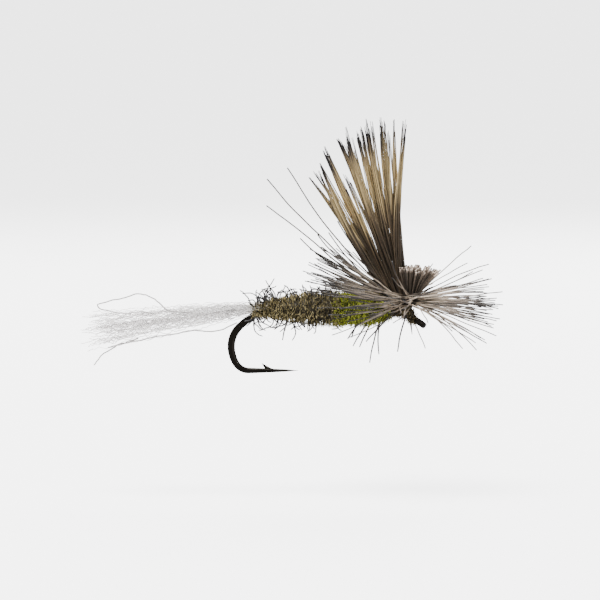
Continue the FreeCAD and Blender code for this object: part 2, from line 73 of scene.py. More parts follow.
def cosine(degrees):
    return math.cos(math.radians(degrees))


def sine(degrees):
    return math.sin(math.radians(degrees))


def level(heading):
    """A level direction; heading 0 is +X."""
    return Vector((cosine(heading), sine(heading), 0.0))


def node_middle(node):
    low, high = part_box(node)
    return (low + high) / 2.0


SHANK_Z = node_middle("abdomen_dubbing").z
BODY_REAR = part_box("abdomen_dubbing")[0].x
ABDOMEN_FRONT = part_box("abdomen_dubbing")[1].x
THORAX_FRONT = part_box("thorax_dubbing")[1].x
BODY_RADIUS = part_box("abdomen_dubbing")[1].z - SHANK_Z
POST = node_middle("post_wraps")
POST_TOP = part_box("wing_hair_root")[1].z
POST_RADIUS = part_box("post_wraps")[1].y
TAIL_FOOT = Vector((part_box("tail_yarn_middle")[1].x, 0.0, node_middle("tail_tie_wraps").z + 0.3 * MM))


# ------ node trees


class Value:
    """A number carried by a socket, so that node maths reads as a plain expression."""

    def __init__(self, nodes, socket):
        self.nodes = nodes
        self.socket = socket

    def maths(self, operation, first, second):
        return self.nodes.add("ShaderNodeMath", {"operation": operation}, {0: first, 1: second}).out()

    def __add__(self, other):
        return self.maths("ADD", self, other)

    def __sub__(self, other):
        return self.maths("SUBTRACT", self, other)

    def __rsub__(self, other):
        return self.maths("SUBTRACT", other, self)

    def __mul__(self, other):
        return self.maths("MULTIPLY", self, other)

    def __truediv__(self, other):
        return self.maths("DIVIDE", self, other)

    def __rtruediv__(self, other):
        return self.maths("DIVIDE", other, self)

    def __mod__(self, other):
        return self.maths("MODULO", self, other)

    def __pow__(self, other):
        return self.maths("POWER", self, other)

    __radd__ = __add__
    __rmul__ = __mul__

    def at_most(self, limit):
        return self.maths("MINIMUM", self, limit)

    def rounded_up(self):
        return self.maths("CEIL", self, 0.0)

    def rounded_down(self):
        return self.maths("FLOOR", self, 0.0)

    def absolute(self):
        return self.maths("ABSOLUTE", self, 0.0)


class Added:
    """A node that has just been added, with its outputs as values."""

    def __init__(self, nodes, node):
        self.nodes = nodes
        self.node = node

    def out(self, name=0):
        return Value(self.nodes, self.node.outputs[name])


class Nodes:
    """A node tree that is filled through one method."""

    def __init__(self, tree):
        self.tree = tree

    def add(self, kind, settings=None, inputs=None):
        """A node of a kind: its settings come first, then the value or the link of each input."""
        node = self.tree.nodes.new(kind)
        for name, value in (settings or {}).items():
            if name == "stops":
                fill_ramp(node.color_ramp, value)
            else:
                setattr(node, name, value)
        for name, value in (inputs or {}).items():
            if isinstance(value, Value):
                self.tree.links.new(value.socket, node.inputs[name])
            else:
                node.inputs[name].default_value = value
        return Added(self, node)

    def vector(self, operation, first, second=(0.0, 0.0, 0.0)):
        return self.add("ShaderNodeVectorMath", {"operation": operation}, {0: first, 1: second}).out()

    def scaled(self, vector, factor):
        inputs = {"Vector": vector, "Scale": factor}
        return self.add("ShaderNodeVectorMath", {"operation": "SCALE"}, inputs).out()

    def blend(self, factor, first, second, mode="MIX"):
        """Two colours mixed by a factor."""
        settings = {"data_type": "RGBA", "blend_type": mode}
        mixed = self.add("ShaderNodeMix", settings, {0: factor, 6: first, 7: second})
        return mixed.out(2)

    def ramp(self, stops, place):
        """The colour at a place along a ramp of (place, colour) stops."""
        return self.add("ShaderNodeValToRGB", {"stops": stops}, {"Fac": place}).out()


def fill_ramp(ramp, stops):
    while len(ramp.elements) > 1:
        ramp.elements.remove(ramp.elements[-1])
    for index, (place, colour) in enumerate(stops):
        element = ramp.elements[0] if index == 0 else ramp.elements.new(place)
        element.position = place
        element.color = (*colour, 1.0)


# ------ hairs that follow guide lines

TUFT_SOCKETS = {
    "Int": ("Hairs", "Points", "Sides", "Seed"),
    "Float": (
        "Root spread", "Tip spread", "Crinkle", "Crinkle size",
        "Unevenness", "Root radius", "Tip radius", "Taper",
    ),
    "Material": ("Finish",),
}
MAP_ROWS = 4
MAP_SIDE = 0.1
MAP_END = 0.02
NOISE_APART = 37.0
GRIP_RISE = 5.0


def tuft_tree():
    """Copies of each guide line that spread from root to tip, crinkle, end unevenly and taper."""
    tree = bpy.data.node_groups.new("tuft", "GeometryNodeTree")
    tree.interface.new_socket("Guides", in_out="INPUT", socket_type="NodeSocketGeometry")
    for kind, names in TUFT_SOCKETS.items():
        for name in names:
            tree.interface.new_socket(name, in_out="INPUT", socket_type=f"NodeSocket{kind}")
    tree.interface.new_socket("Hair", in_out="OUTPUT", socket_type="NodeSocketGeometry")
    nodes = Nodes(tree)
    given = nodes.add("NodeGroupInput")
    seed = given.out("Seed")
    index = nodes.add("GeometryNodeInputIndex").out()

    def keep(geometry, name, value, domain, kind="FLOAT"):
        settings = {"data_type": kind, "domain": domain}
        inputs = {"Geometry": geometry, "Name": name, "Value": value}
        return nodes.add("GeometryNodeStoreNamedAttribute", settings, inputs).out()

    def kept(name, kind="FLOAT"):
        return nodes.add("GeometryNodeInputNamedAttribute", {"data_type": kind}, {"Name": name}).out()

    def chance(kind, low, high, salt):
        """A random value for each hair; the node has separate sockets for vectors and for numbers."""
        least, most, result = (0, 1, 0) if kind == "FLOAT_VECTOR" else (2, 3, 1)
        inputs = {least: low, most: high, "ID": index, "Seed": seed + salt}
        return nodes.add("FunctionNodeRandomValue", {"data_type": kind}, inputs).out(result)

    lines = nodes.add("GeometryNodeMeshToCurve", None, {"Mesh": given.out("Guides")}).out()
    resampled = {"Curve": lines, "Count": given.out("Points")}
    lines = nodes.add("GeometryNodeResampleCurve", None, resampled).out()
    copied = {"Geometry": lines, "Amount": given.out("Hairs")}
    lines = nodes.add("GeometryNodeDuplicateElements", {"domain": "SPLINE"}, copied).out()
    lines = keep(lines, "strand", index, "CURVE")
    lines = keep(lines, "tint", chance("FLOAT", 0.0, 1.0, salt=1), "CURVE")
    sideways = chance("FLOAT_VECTOR", (-1, -1, -1), (1, 1, 1), salt=2)
    lines = keep(lines, "aside", sideways, "CURVE", "FLOAT_VECTOR")

    along = nodes.add("GeometryNodeSplineParameter").out("Factor")
    aside = kept("aside", "FLOAT_VECTOR")
    spread = given.out("Root spread") + (given.out("Tip spread") - given.out("Root spread")) * along
    place = nodes.add("GeometryNodeInputPosition").out()
    drift = nodes.scaled(place, 1.0 / given.out("Crinkle size"))
    drift = nodes.vector("ADD", drift, nodes.scaled(aside, NOISE_APART))
    waves = {"Vector": drift, "Scale": 1.0, "Detail": 1.0}
    noise = nodes.add("ShaderNodeTexNoise", None, waves).out("Color")
    sway = nodes.vector("SUBTRACT", noise, (0.5, 0.5, 0.5))
    grip = (along * GRIP_RISE).at_most(1.0)
    sway = nodes.scaled(sway, given.out("Crinkle") * grip * 2.0)
    shift = nodes.vector("ADD", nodes.scaled(aside, spread), sway)
    lines = nodes.add("GeometryNodeSetPosition", None, {"Geometry": lines, "Offset": shift}).out()
    end = 1.0 - given.out("Unevenness") * chance("FLOAT", 0.0, 1.0, salt=3)
    lines = nodes.add("GeometryNodeTrimCurve", {"mode": "FACTOR"}, {"Curve": lines, "End": end}).out()
    lines = keep(lines, "along", along, "POINT")

    thick = given.out("Root radius") - given.out("Tip radius")
    radius = given.out("Tip radius") + thick * (1.0 - kept("along") ** given.out("Taper"))
    circle = {"Resolution": given.out("Sides"), "Radius": 1.0}
    ring = nodes.add("GeometryNodeCurvePrimitiveCircle", {"mode": "RADIUS"}, circle).out()
    ring = keep(ring, "around", along, "POINT")
    drawn = {"Curve": lines, "Profile Curve": ring, "Scale": radius, "Fill Caps": True}
    tubes = nodes.add("GeometryNodeCurveToMesh", None, drawn).out()

    count = nodes.add("GeometryNodeAttributeDomainSize", {"component": "CURVE"}, {"Geometry": lines})
    columns = (count.out("Spline Count") / MAP_ROWS).rounded_up()
    fold = (kept("around") * 2.0 - 1.0).absolute()
    row = (kept("strand") / columns).rounded_down()
    across = (kept("strand") % columns + MAP_SIDE + fold * (1.0 - 2.0 * MAP_SIDE)) / columns
    up = (row + MAP_END + kept("along") * (1.0 - 2.0 * MAP_END)) / MAP_ROWS
    spot = nodes.add("ShaderNodeCombineXYZ", None, {"X": across, "Y": up}).out()
    tubes = keep(tubes, BAKE_MAP, spot, "CORNER", "FLOAT2")
    tubes = nodes.add("GeometryNodeSetShadeSmooth", None, {"Geometry": tubes}).out()
    tubes = nodes.add("GeometryNodeRealizeInstances", None, {"Geometry": tubes}).out()
    coated = {"Geometry": tubes, "Material": given.out("Finish")}
    tubes = nodes.add("GeometryNodeSetMaterial", None, coated).out()
    nodes.add("NodeGroupOutput", None, {"Hair": tubes})
    return tree


TUFT = tuft_tree()


def link(piece):
    bpy.context.scene.collection.objects.link(piece)
    return piece


def grow(name, guides, finish, **sizes):
    """Hairs along guide lines, as one plain mesh. Sizes name the tree's inputs, such as tip_spread."""
    corners = []
    edges = []
    for guide in guides:
        start = len(corners)
        corners += [tuple(point) for point in guide]
        edges += [(start + step, start + step + 1) for step in range(len(guide) - 1)]
    mesh = bpy.data.meshes.new(f"{name}_guides")
    mesh.from_pydata(corners, edges, [])
    holder = link(bpy.data.objects.new(f"{name}_guides", mesh))
    modifier = holder.modifiers.new("tuft", "NODES")
    modifier.node_group = TUFT
    sizes = {"hairs": 1, "points": 10, "taper": 3.0, "sides": 5, "crinkle_size": 1.0 * MM, **sizes}
    for item in TUFT.interface.items_tree:
        key = item.name.lower().replace(" ", "_")
        if item.in_out == "INPUT" and key in sizes:
            modifier[item.identifier] = sizes[key]
        elif key == "finish":
            modifier[item.identifier] = finish
    bpy.context.view_layer.update()
    grown = holder.evaluated_get(bpy.context.evaluated_depsgraph_get())
    result = bpy.data.meshes.new_from_object(grown)
    result.name = name
    bpy.data.objects.remove(holder)
    if not result.materials:
        result.materials.append(finish)
    return link(bpy.data.objects.new(name, result))


def bowed(start, lean_in, lean_out, length, heading, steps=8, side=0.0):
    """A line that leaves start at one elevation and ends at another, towards a heading in the XY plane.

    Angles are in degrees; heading 0 is +X. side bends the line sideways by a share of its length.
    """
    out = level(heading)
    across = Vector((-out.y, out.x, 0.0))
    points = [Vector(start)]
    for step in range(steps):
        share = (step + 0.5) / steps
        rise = lean_in + (lean_out - lean_in) * share
        ahead = out * cosine(rise) + Vector((0, 0, sine(rise)))
        points.append(points[-1] + (ahead + across * (2.0 * side * share)) * (length / steps))
    return points


def swept(first, first_turn, last_turn, last, steps=14, until=1.0):
    """A line from first to last that leaves along one direction and arrives along another."""
    reach = (last - first).length / 3.0
    near, far = first + first_turn * reach, last - last_turn * reach
    points = []
    for step in range(steps + 1):
        t = until * step / steps
        u = 1.0 - t
        points.append(first * u**3 + near * (3 * t * u * u) + far * (3 * t * t * u) + last * t**3)
    return points


# ------ finishes


MOTTLE_SCALE = 2200.0
FUR_PATCH_SCALE = 1100.0
TINT_CYCLES = 7.0
HAIR_SHEEN = 0.32


def shader_of(material):
    return next(node for node in material.node_tree.nodes if node.type == "BSDF_PRINCIPLED")


def new_finish(name):
    """A material with an empty principled shader: (material, nodes, shader)."""
    material = bpy.data.materials.new(name)
    material.use_nodes = True
    return material, Nodes(material.node_tree), shader_of(material)


def settle(material, constants):
    """Sets constants on the shader's own sockets."""
    shader = shader_of(material)
    for socket, value in constants.items():
        shader.inputs[socket].default_value = value
    return material


def attribute(nodes, name):
    return nodes.add("ShaderNodeAttribute", {"attribute_name": name}).out("Fac")


def feed(nodes, shader, socket, value):
    nodes.tree.links.new(value.socket, shader.inputs[socket])


def grain(nodes, scale, detail):
    """Noise that stays with the piece, with its scale in waves to the metre."""
    place = nodes.add("ShaderNodeTexCoord").out("Object")
    inputs = {"Vector": place, "Scale": scale, "Detail": detail}
    return nodes.add("ShaderNodeTexNoise", None, inputs).out()


def grained_finish(name, scale, detail, dark, light, roughness, relief=None):
    """Two colours mixed by a grain; roughness is (least, added), relief (strength, depth in metres)."""
    material, nodes, shader = new_finish(name)
    cloud = grain(nodes, scale, detail)
    feed(nodes, shader, "Base Color", nodes.blend(cloud, (*dark, 1.0), (*light, 1.0)))
    feed(nodes, shader, "Roughness", roughness[0] + cloud * roughness[1])
    if relief:
        inputs = {"Strength": relief[0], "Distance": relief[1], "Height": cloud}
        feed(nodes, shader, "Normal", nodes.add("ShaderNodeBump", None, inputs).out())
    return material


def strand_finish(name, stops, shade=0.35, shift=0.08, roughness=0.42, tint=None, skew=1.0):
    """Hair coloured from root to tip by stops.

    Each hair is lighter or darker by shade, and its bands lie higher or lower by shift.
    """
    material, nodes, shader = new_finish(name)
    own = attribute(nodes, "tint")
    colour = nodes.ramp(stops, attribute(nodes, "along") + (own - 0.5) * shift)
    mottle = grain(nodes, MOTTLE_SCALE, 2.0)
    if tint:
        colour = nodes.blend((own * TINT_CYCLES) % 1.0, colour, (*tint, 1.0), "MULTIPLY")
    level = 1.0 - shade + own**skew * 2.0 * shade + (mottle - 0.5) * 0.5
    grey = nodes.add("ShaderNodeCombineColor", None, {"Red": level, "Green": level, "Blue": level}).out()
    feed(nodes, shader, "Base Color", nodes.blend(1.0, colour, grey, "MULTIPLY"))
    feed(nodes, shader, "Roughness", roughness + (mottle - 0.5) * 0.2)
    return settle(material, {"Specular IOR Level": HAIR_SHEEN})


def wing_hair_finish():
    stops = (
        (0.0, (0.036, 0.026, 0.016)),
        (0.40, (0.066, 0.048, 0.031)),
        (0.54, (0.16, 0.12, 0.072)),
        (0.64, (0.43, 0.335, 0.175)),
        (0.82, (0.50, 0.395, 0.205)),
        (0.895, (0.22, 0.17, 0.11)),
        (0.935, (0.028, 0.026, 0.026)),
        (1.0, (0.016, 0.016, 0.017)),
    )
    return strand_finish("wing_hair", stops, shade=0.6, shift=0.10, tint=(1.0, 0.93, 0.86))


def long_hair_finish():
    stops = (
        (0.0, (0.03, 0.026, 0.022)),
        (0.6, (0.10, 0.086, 0.07)),
        (0.88, (0.06, 0.053, 0.048)),
        (1.0, (0.015, 0.015, 0.016)),
    )
    return strand_finish("long_wing_hair", stops, shade=0.4, shift=0.1)


def hackle_barb_finish():
    stops = (
        (0.0, (0.02, 0.016, 0.012)),
        (0.11, (0.06, 0.048, 0.036)),
        (0.25, (0.32, 0.26, 0.20)),
        (0.35, (0.52, 0.43, 0.34)),
        (0.6, (0.38, 0.315, 0.255)),
        (0.8, (0.12, 0.10, 0.088)),
        (1.0, (0.035, 0.032, 0.033)),
    )
    return strand_finish("hackle_barbs", stops, shade=0.9, shift=0.5, roughness=0.36, skew=1.4)


def caught_barb_finish():
    stops = ((0.0, (0.06, 0.052, 0.048)), (0.5, (0.10, 0.09, 0.088)), (1.0, (0.035, 0.033, 0.036)))
    return strand_finish("caught_barbs", stops, shade=0.5, shift=0.3, roughness=0.33)


def butt_finish():
    stops = (
        (0.0, (0.026, 0.02, 0.015)),
        (0.5, (0.08, 0.063, 0.048)),
        (0.90, (0.13, 0.102, 0.08)),
        (0.96, (0.44, 0.355, 0.29)),
    )
    return strand_finish("hair_butts", stops, shade=0.75, shift=0.05, roughness=0.5)


def guard_hair_finish():
    stops = ((0.0, (0.03, 0.027, 0.024)), (0.5, (0.07, 0.066, 0.066)), (1.0, (0.05, 0.048, 0.05)))
    return strand_finish("guard_hair", stops, shade=0.5)


def tail_yarn_finish():
    """Bleached yarn, which lets some light through."""
    stops = (
        (0.0, (0.55, 0.45, 0.31)),
        (0.05, (0.80, 0.76, 0.70)),
        (0.12, (0.93, 0.91, 0.90)),
        (1.0, (0.93, 0.905, 0.90)),
    )
    yarn = strand_finish("tail_yarn", stops, shade=0.16, roughness=0.4)
    return settle(yarn, {"Transmission Weight": 0.6, "IOR": 1.3})


def loose_yarn_finish():
    stops = ((0.0, (0.50, 0.47, 0.46)), (1.0, (0.58, 0.55, 0.54)))
    return strand_finish("loose_yarn", stops, shade=0.15, roughness=0.4)


def fur_finish(name, deep, dark, middle, bright):
    """Spun fur: each fibre is painted darker towards its root, as painted shade between the fibres, and
    every fibre's end takes its own shade.
    """
    material, nodes, shader = new_finish(name)
    own = attribute(nodes, "tint")
    out = attribute(nodes, "along")
    patches = grain(nodes, FUR_PATCH_SCALE, 3.0)
    colour = nodes.ramp(((0.2, dark), (0.5, middle), (0.8, bright)), own * 0.75 + patches * 0.9 - 0.32)
    # painted shade: the fibre goes to the deep colour near its root, where shade falls between the crowded
    # fibres
    depth = (out * out * 2.0).at_most(1.0)
    feed(nodes, shader, "Base Color", nodes.blend(depth, (*deep, 1.0), colour))
    feed(nodes, shader, "Roughness", 0.5 + patches * 0.3)
    return material


def bronze_finish():
    bronze = grained_finish(
        "bronzed_wire", scale=700.0, detail=4.0, dark=(0.004, 0.0036, 0.003), light=(0.018, 0.014, 0.009),
        roughness=(0.16, 0.2), relief=(0.15, 0.01 * MM),
    )
    return settle(bronze, {"Metallic": 0.95, "Coat Weight": 0.15, "Coat Roughness": 0.08})


def thread_finish():
    return grained_finish(
        "tying_thread", scale=9000.0, detail=2.0, dark=(0.02, 0.017, 0.014), light=(0.09, 0.075, 0.055),
        roughness=(0.35, 0.3), relief=(0.4, 0.02 * MM),
    )


def stem_finish():
    return grained_finish(
        "hackle_stem", scale=3000.0, detail=3.0, dark=(0.02, 0.018, 0.016), light=(0.14, 0.115, 0.1),
        roughness=(0.25, 0.25),
    )


# ------ wing

WING_LOCKS = {
    "front": (
        (-1.04, 14.81, 12.0, -7.0, 15), (-1.85, 14.74, 9.0, 1.0, 12), (-2.54, 14.64, 11.0, 3.0, 17),
        (-2.82, 14.96, 9.0, 6.0, 12),
    ),
    "mid_front": (
        (-3.52, 14.74, 15.0, 7.0, 20), (-3.83, 14.77, 13.0, 10.0, 14), (-4.26, 14.27, 18.0, 12.0, 20),
        (-4.54, 13.87, 16.0, 15.0, 14), (-4.84, 13.43, 19.0, 12.0, 20),
    ),
    "mid_rear": (
        (-5.34, 14.23, 19.0, 12.0, 14), (-5.92, 13.43, 21.0, 26.0, 22), (-5.52, 10.84, 25.0, 26.0, 12),
        (-6.9, 12.78, 29.0, 23.0, 22), (-6.97, 12.32, 28.0, 27.0, 14),
    ),
    "rear": ((-7.22, 11.62, 37.0, 22.0, 20), (-7.73, 10.98, 34.0, 38.0, 20), (-6.53, 9.13, 31.0, 34.0, 14)),
}
LONG_HAIRS = (
    (-11.09, 10.43, 50.0, 40.0), (-9.58, 11.2, 44.0, 31.0),
    (-11.1, 8.52, 62.0, 57.0), (-7.4, 6.4, 52.0, 36.0),
    (-6.6, 6.5, 50.0, 30.0), (-8.6, 6.1, 60.0, 46.0), (-5.9, 7.3, 41.0, 30.0), (-7.9, 5.4, 62.0, 60.0),
)
LOCK_SPLAYS = (-6.0, 3.5, -1.5, 7.0, 0.5)
SPLAY_SCATTER = 1.5
TIP_SPLAY = 0.8
LOCK_FULLNESS = 1.5
LOCK_FOOT = 0.27
FOOT_STRETCH = 1.6
FOOT_AHEAD = 0.2
FOOT_DEPTH = 0.3
FOOT_PER_LEAN = 0.034
LOCK_BELLY = 0.2
BELLY_TURNS = (0.25, 0.3)
LOCK_POINT = 0.06
WISPS = 3
WISP_REACH = 0.3
WISP_DROP = (-0.9, -0.1)
END_SCATTER = 0.045
MOST_CUT = 0.2
LONG_FOOT_BACK = 0.75
LONG_FOOT_DEPTH = 0.2
LONG_FOOT_SIDE = (-0.4, 0.2)
LONG_SPREAD = 3.0
LONG_LEAN = 6.0


def leaning(lean, splay=0.0):
    """An upward direction that leans back and sideways, in degrees."""
    return Vector((-sine(lean) * cosine(splay), sine(splay), cosine(lean) * cosine(splay)))


def scattered(rng):
    """A level offset of up to one either way."""
    return Vector((rng.uniform(-1.0, 1.0), rng.uniform(-1.0, 1.0), 0.0))


def lock_guides(rng, lock, splay):
    """The hairs of one lock: side by side at the foot, full in the middle, drawn to a brush point."""
    tip_x, tip_z, lean_in, lean_out, count = lock
    middle = Vector((POST.x / MM + FOOT_AHEAD - FOOT_PER_LEAN * lean_in, 0.0, POST_TOP / MM - FOOT_DEPTH))
    point = Vector((tip_x, sine(splay) * (tip_z - middle.z), tip_z))
    wisps = [point]
    for _ in range(WISPS - 1):
        ahead, aside = (rng.uniform(-WISP_REACH, WISP_REACH) for _ in range(2))
        wisps.append(point + Vector((ahead, aside, rng.uniform(*WISP_DROP))))
    guides = []
    for _ in range(round(count * LOCK_FULLNESS)):
        aside = Vector((rng.uniform(-1.0, 1.0), rng.uniform(-1.0, 1.0) * FOOT_STRETCH, 0.0))
        foot = middle + aside * LOCK_FOOT
        belly = scattered(rng) * LOCK_BELLY
        end = rng.choice(wisps) + scattered(rng) * LOCK_POINT
        first = (leaning(lean_in, splay) + belly * BELLY_TURNS[0]).normalized()
        last = (leaning(lean_out, splay * TIP_SPLAY) - belly * BELLY_TURNS[1]).normalized()
        until = 1.0 - min(abs(rng.gauss(0.0, END_SCATTER)), MOST_CUT)
        guides.append([place * MM for place in swept(foot, first, last, end, until=until)])
    return guides


def make_wing(finish, long_finish):
    """Four clumps of hair, each of a few pointed locks, and the long loose hairs behind them."""
    rng = random.Random(41)
    for number, (name, locks) in enumerate(WING_LOCKS.items()):
        guides = []
        for splay, lock in zip(LOCK_SPLAYS, locks):
            guides += lock_guides(rng, lock, splay + rng.uniform(-SPLAY_SCATTER, SPLAY_SCATTER))
        clump = grow(
            f"wing_clump_{name}", guides, finish, points=18, root_spread=0.02 * MM, tip_spread=0.03 * MM,
            crinkle=0.05 * MM, crinkle_size=3.0 * MM, root_radius=0.043 * MM, tip_radius=0.017 * MM,
            taper=3.4, sides=5, seed=11 + number,
        )
        flex_wing(clump, f"wing_hair_{name}")
    loose_guides = []
    for tip_x, tip_z, lean_in, lean_out in LONG_HAIRS:
        side = rng.uniform(*LONG_FOOT_SIDE)
        foot = Vector((POST.x / MM - LONG_FOOT_BACK, side, POST_TOP / MM - LONG_FOOT_DEPTH))
        tip = Vector((tip_x, foot.y * LONG_SPREAD, tip_z))
        line = swept(foot, leaning(lean_in + LONG_LEAN), leaning(lean_out), tip, steps=18)
        loose_guides.append([place * MM for place in line])
    loose = grow(
        "wing_long_hairs", loose_guides, long_finish, points=22, crinkle=0.14 * MM, crinkle_size=3.0 * MM,
        root_radius=0.062 * MM, tip_radius=0.045 * MM, taper=1.5, sides=5, seed=5,
    )
    flex_wing(loose, "wing_stray_hairs")


def flex_wing(piece, node):
    """Hair whose placing is baked into its mesh, in place of its CAD node, which is hidden."""
    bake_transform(piece)
    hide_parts(node)


BUTTS = 150
BUTT_FAN = 125.0
BUTT_CROWDING = 0.7
BUTT_LEAN = 3.0
LEAN_OUTWARD = 20.0
LEAN_AHEAD = 24.0
BUTT_FOOT = 0.12
BUTT_FOOT_SPREAD = 0.4
BUTT_AHEAD = 0.15 * MM
BUTT_DEPTH = 0.35 * MM
BUTT_LENGTH = 2.5
BUTT_CUT = 0.2
BUTT_FRONT_LENGTH = 0.45
BUTT_BOW = (0.6, 1.25)


def make_butts(finish):
    """The clipped root ends of the wing hair, fanned round the front of the post."""
    rng = random.Random(7)
    guides = []
    for _ in range(BUTTS):
        azimuth = rng.uniform(-BUTT_FAN, BUTT_FAN)
        facing = max(cosine(azimuth), 0.0)
        outward = rng.random() ** BUTT_CROWDING
        lean = BUTT_LEAN + outward * (LEAN_OUTWARD + LEAN_AHEAD * facing)
        foot = (BUTT_FOOT + BUTT_FOOT_SPREAD * outward) * MM
        ahead = POST.x + foot * cosine(azimuth) + BUTT_AHEAD
        start = Vector((ahead, foot * sine(azimuth), POST_TOP - BUTT_DEPTH))
        cut = rng.uniform(-BUTT_CUT, BUTT_CUT)
        length = (BUTT_LENGTH + cut + BUTT_FRONT_LENGTH * outward * facing * rng.random()) * MM
        rises = [90.0 - lean * bow for bow in BUTT_BOW]
        guides.append(bowed(start, *rises, length, azimuth, steps=5))
    butts = grow(
        "wing_hair_butts", guides, finish, points=6, crinkle=0.05 * MM, root_radius=0.052 * MM,
        tip_radius=0.062 * MM, taper=1.0, sides=7, seed=3,
    )
    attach(butts, BODY)
    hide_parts("wing_butts")


# ------ hackle

HACKLE_RISES = (-15.0, -6.0, 3.0, 12.0)
RISE_SCATTER = 7.0
BARBS_IN_TURN = 102
OVER_THORAX = 32.0
FRONT_SHARE = 0.5
REAR_RISE = (3.0, 32.0)
ROOT_SLANT = 34.0
MOST_SLANT = 70.0
REAR_KEPT = 0.3
FRONT_KEPT = 0.2
BESIDE_THORAX = 75.0
BESIDE_LIFT = 3.0
BESIDE_LEAST = -15.0
RISE_STEPS = (0.618, 0.37)
STRAYS = 0.05
STRAY_RISES = (-38.0, 33.0)
REAR_STRAY_RISE = 34.0
REAR_BARB_FAN = 60.0
REAR_BARB = 7.3
BARB = 6.7
BARB_SCATTER = 0.5
REAR_CURL = (-4.0, 9.0)
FRONT_CURL = (-9.0, 6.0)
BARB_SIDE = 0.06
QUILL_SINK = 0.02 * MM


def hackle_guides(rng, turn):
    """The barbs of one turn: a flat whorl with loose ends, lifted where it passes over the thorax."""
    lowest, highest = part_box("hackle_quill")[0].z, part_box("hackle_quill")[1].z
    height = lowest + (turn + 0.5) / len(HACKLE_RISES) * (highest - lowest)
    guides = []
    for number in range(BARBS_IN_TURN):
        azimuth = (number + rng.uniform(-0.5, 0.5)) * 360.0 / BARBS_IN_TURN
        from_rear = abs(azimuth - 180.0)
        facing = abs(cosine(azimuth))
        behind = from_rear < 90.0
        if rng.random() > (REAR_KEPT + facing if behind else (FRONT_KEPT + facing) * FRONT_SHARE):
            continue
        rise = rng.gauss(HACKLE_RISES[turn], RISE_SCATTER) * (0.5 + 0.5 * facing)
        if from_rear < OVER_THORAX:
            if turn == 0:
                continue
            share = (number * RISE_STEPS[0] + turn * RISE_STEPS[1]) % 1.0
            rise = REAR_RISE[0] + (REAR_RISE[1] - REAR_RISE[0]) * share
        elif from_rear < BESIDE_THORAX:
            rise = max(rise + BESIDE_LIFT, BESIDE_LEAST)
        if rng.random() < STRAYS:
            rise = rng.choice(STRAY_RISES) if from_rear > 90.0 else REAR_STRAY_RISE
        slant = max(-MOST_SLANT, min(MOST_SLANT, rng.gauss(0.0, ROOT_SLANT)))
        root = level(azimuth + slant) * (POST_RADIUS - QUILL_SINK)
        start = Vector((POST.x, 0.0, height)) + root
        longest = REAR_BARB if from_rear < REAR_BARB_FAN else BARB
        length = (longest - abs(rng.gauss(0.0, BARB_SCATTER))) * MM
        curl = rng.uniform(*(REAR_CURL if behind else FRONT_CURL))
        side = rng.uniform(-BARB_SIDE, BARB_SIDE)
        guides.append(bowed(start, rise - curl, rise + curl, length, azimuth, side=side))
    return guides


def make_hackle(finish):
    rng = random.Random(23)
    for turn in range(len(HACKLE_RISES)):
        barbs = grow(
            f"hackle_turn_{turn + 1}", hackle_guides(rng, turn), finish, points=12, tip_spread=0.26 * MM,
            crinkle=0.11 * MM, crinkle_size=2.2 * MM, root_radius=0.045 * MM, tip_radius=0.037 * MM,
            taper=1.5, sides=5, unevenness=0.08, seed=31 + turn,
        )
        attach(barbs, BODY)
        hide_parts(f"hackle_barbs_turn_{turn + 1}")


CAUGHT_BARBS = (
    ((-1.74, 0.36), (-3.85, -1.38)), ((-2.76, -0.15), (-3.56, -3.05)), ((-2.8, -0.1), (-2.9, -2.3)),
    ((-3.63, -0.36), (-4.79, -1.67)), ((-4.1, -0.3), (-5.15, -1.3)), ((-4.3, -0.3), (-4.9, -1.1)),
    ((-0.94, 0.07), (-1.6, -2.1)), ((-3.2, -0.2), (-4.3, -1.9)), ((-9.4, 0.0), (-9.9, -1.27)),
)
CAUGHT_SIDES = (-0.55, 0.5, -0.3)
CAUGHT_DEPTH = 0.5
CAUGHT_SPREAD = 1.9
CAUGHT_SAG = Vector((0.1, 0.0, 0.06)) * MM


def make_caught_barbs(finish):
    """Straight barbs caught under the thorax and the head, which point down and back."""
    guides = []
    for number, (root, tip) in enumerate(CAUGHT_BARBS):
        side = CAUGHT_SIDES[number % len(CAUGHT_SIDES)]
        start = Vector((root[0], side, root[1] + CAUGHT_DEPTH)) * MM
        end = Vector((tip[0], side * CAUGHT_SPREAD, tip[1])) * MM
        guides.append([start, *(start.lerp(end, share) - CAUGHT_SAG for share in (0.33, 0.67)), end])
    caught = grow(
        "hackle_caught_barbs", guides, finish, points=10, crinkle=0.08 * MM, crinkle_size=1.6 * MM,
        root_radius=0.062 * MM, tip_radius=0.044 * MM, sides=5, seed=9,
    )
    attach(caught, BODY)
    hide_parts("hackle_stray_barbs")


# ------ tail


TAIL_LOOP = (
    (-16.4, 0.72), (-17.74, 0.80), (-18.3, 0.98), (-18.85, 1.45), (-19.78, 2.05), (-20.7, 2.05),
    (-21.27, 1.82), (-22.1, 1.68), (-23.35, 1.28), (-23.02, 1.03), (-21.8, 0.70), (-20.98, 0.68),
    (-19.97, 0.80), (-19.04, 0.61),
)
TAIL_LOW_FIBRE = (
    (-13.2, 0.0), (-13.67, -0.22), (-14.23, -0.5), (-14.88, -0.64), (-16.07, -0.54), (-16.73, -0.58),
    (-17.93, -0.87), (-19.24, -1.05), (-20.7, -1.34), (-22.6, -1.8),
)
TAIL_LAST_FIBRE = ((-20.4, -1.2), (-22.0, -1.8), (-22.9, -2.3), (-23.7, -3.15))
TAIL_STRANDS = {"lower": (7.5, 12.5), "middle": (5.5, 10.0), "upper": (3.0, 7.0)}
FIBRES_IN_STRAND = 27
LEVEL_DROOP = 8.5
LIFT_PER_DEGREE = 0.05
LIFT_SCATTER = 0.12
TAIL_SINK = 0.13
TAIL_HELD = 0.75
TAIL_HALF_WIDTH = 0.25
TAIL_LENGTHS = (12.4, 13.9)
TAIL_FAN = 3.0
TAIL_BEND = (-4.0, 7.0)


